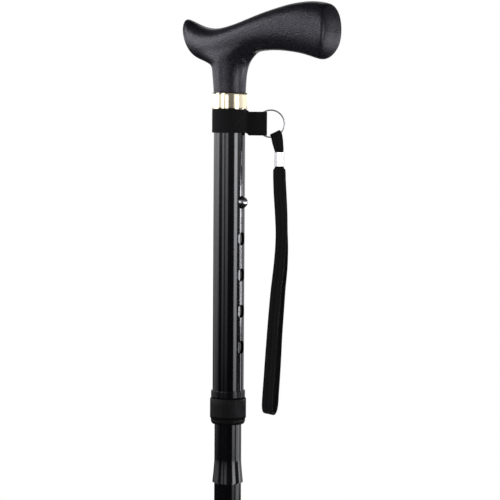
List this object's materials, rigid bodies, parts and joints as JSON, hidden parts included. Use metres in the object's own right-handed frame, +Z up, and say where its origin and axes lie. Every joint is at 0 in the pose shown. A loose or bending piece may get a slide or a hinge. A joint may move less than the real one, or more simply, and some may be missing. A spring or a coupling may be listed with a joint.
{
  "type": "folding cane",
  "caption": "Folding walking cane with a derby handle, telescoping height with a snap button and lock nut, elastic-corded folding tube sections, a wrist strap on a ring and a rubber tip.",
  "frame": {"origin": "centre of the rubber tip's ground face", "axes": "+Z up the shaft to the handle, +X to the palm end of the handle and the button holes, +Y to the side where the strap's ring sits"},
  "size_m": [0.1207, 0.0413, 0.8422],
  "materials": {
    "handle": "pebbled moulded charcoal plastic",
    "collar": "polished pale gold",
    "tube": "gloss black enamel over aluminium",
    "webbing": "matte black woven polyester",
    "ring": "plated spring wire",
    "crimp": "bright plated sheet",
    "button": "bright plated spring steel",
    "lock_plastic": "matte black nylon",
    "nylon": "natural nylon",
    "plug": "dark moulded plastic",
    "elastic": "braided elastic cord",
    "tip": "matte black rubber",
    "washer": "stamped steel"
  },
  "bodies": {
    "upper_shaft": {"handle_grip": "handle", "gold_collar": "collar", "upper_tube": "tube", "strap_band": "webbing", "lock_sleeve": "lock_plastic"},
    "ring_tab": {"ring_tab": "webbing"},
    "key_ring": {"split_ring": "ring"},
    "wrist_strap": {"strap_eye": "webbing", "strap_crimp": "crimp", "wrist_strap": "webbing"},
    "lock_bush": {"lock_bush": "nylon"},
    "lock_nut": {"lock_nut": "lock_plastic"},
    "inner_shaft": {"inner_tube": "tube", "cord_anchor": "nylon", "cord_knot_top": "elastic", "elastic_cord_1": "elastic"},
    "snap_button": {"snap_button": "button"},
    "cord_link_1": {"cord_span_1": "elastic"},
    "section_2": {"section_2_tube": "tube", "section_2_spigot": "plug", "elastic_cord_2": "elastic"},
    "cord_link_2": {"cord_span_2": "elastic"},
    "section_3": {"section_3_tube": "tube", "section_3_spigot": "plug", "elastic_cord_3": "elastic"},
    "cord_link_3": {"cord_span_3": "elastic"},
    "section_4": {"section_4_tube": "tube", "section_4_spigot": "plug", "elastic_cord_4": "elastic", "cord_end_plug": "nylon", "cord_knot_bottom": "elastic", "rubber_tip": "tip", "tip_washer": "washer"}
  },
  "joints": [
    {"name": "height_adjust", "type": "slide", "parent": "upper_shaft", "child": "inner_shaft", "axis": [0, 0, -1], "range_m": [0, 0.1016]},
    {"name": "button_press", "type": "slide", "parent": "inner_shaft", "child": "snap_button", "axis": [-1, 0, 0], "range_m": [0, 0.0045], "stiffness_N_per_m": 900, "deforming": ["snap_button"]},
    {"name": "nut_travel", "type": "slide", "parent": "upper_shaft", "child": "lock_bush", "axis": [0, 0, -1], "range_m": [0, 0.00301]},
    {"name": "nut_turn", "type": "hinge", "parent": "lock_bush", "child": "lock_nut", "pos_m": [0, 0, 0.557], "axis": [0, 0, -1], "range_deg": [0, 720]},
    {"name": "pull_1", "type": "slide", "parent": "inner_shaft", "child": "cord_link_1", "axis": [0, 0, -1], "range_m": [0, 0.045], "stiffness_N_per_m": 250, "springref_m": -0.08, "deforming": ["cord_span_1"]},
    {"name": "fold_1", "type": "hinge", "parent": "cord_link_1", "child": "section_2", "pos_m": [0, -0.014, 0.5061], "axis": [-1, 0, 0], "range_deg": [0, 180], "stiffness_Nm_per_rad": 0.09, "springref_deg": -171.89},
    {"name": "pull_2", "type": "slide", "parent": "section_2", "child": "cord_link_2", "axis": [0, 0, -1], "range_m": [0, 0.045], "stiffness_N_per_m": 250, "springref_m": -0.08, "deforming": ["cord_span_2"]},
    {"name": "fold_2", "type": "hinge", "parent": "cord_link_2", "child": "section_3", "pos_m": [-0.014, 0, 0.3374], "axis": [0, 1, 0], "range_deg": [0, 180], "stiffness_Nm_per_rad": 0.09, "springref_deg": -171.89},
    {"name": "pull_3", "type": "slide", "parent": "section_3", "child": "cord_link_3", "axis": [0, 0, -1], "range_m": [0, 0.045], "stiffness_N_per_m": 250, "springref_m": -0.08, "deforming": ["cord_span_3"]},
    {"name": "fold_3", "type": "hinge", "parent": "cord_link_3", "child": "section_4", "pos_m": [0, 0.014, 0.1687], "axis": [1, 0, 0], "range_deg": [0, 180], "stiffness_Nm_per_rad": 0.09, "springref_deg": -171.89},
    {"name": "tab_swing", "type": "hinge", "parent": "upper_shaft", "child": "ring_tab", "pos_m": [0.01145, 0.00743, 0.75845], "axis": [0, 0, 1], "range_deg": [-60, 60]},
    {"name": "ring_turn", "type": "hinge", "parent": "ring_tab", "child": "key_ring", "pos_m": [0.02411, 0.01566, 0.75845], "axis": [0.5446, -0.8387, 0], "range_deg": [0, 75]},
    {"name": "strap_swing", "type": "hinge", "parent": "key_ring", "child": "wrist_strap", "pos_m": [0.02759, 0.01792, 0.74996], "axis": [0.7538, 0.4895, 0.4384], "range_deg": [-70, 70]}
  ],
  "couplings": [
    {"joint": "nut_travel", "follows": "nut_turn", "m_per_rad": 0.00023873}
  ]
}
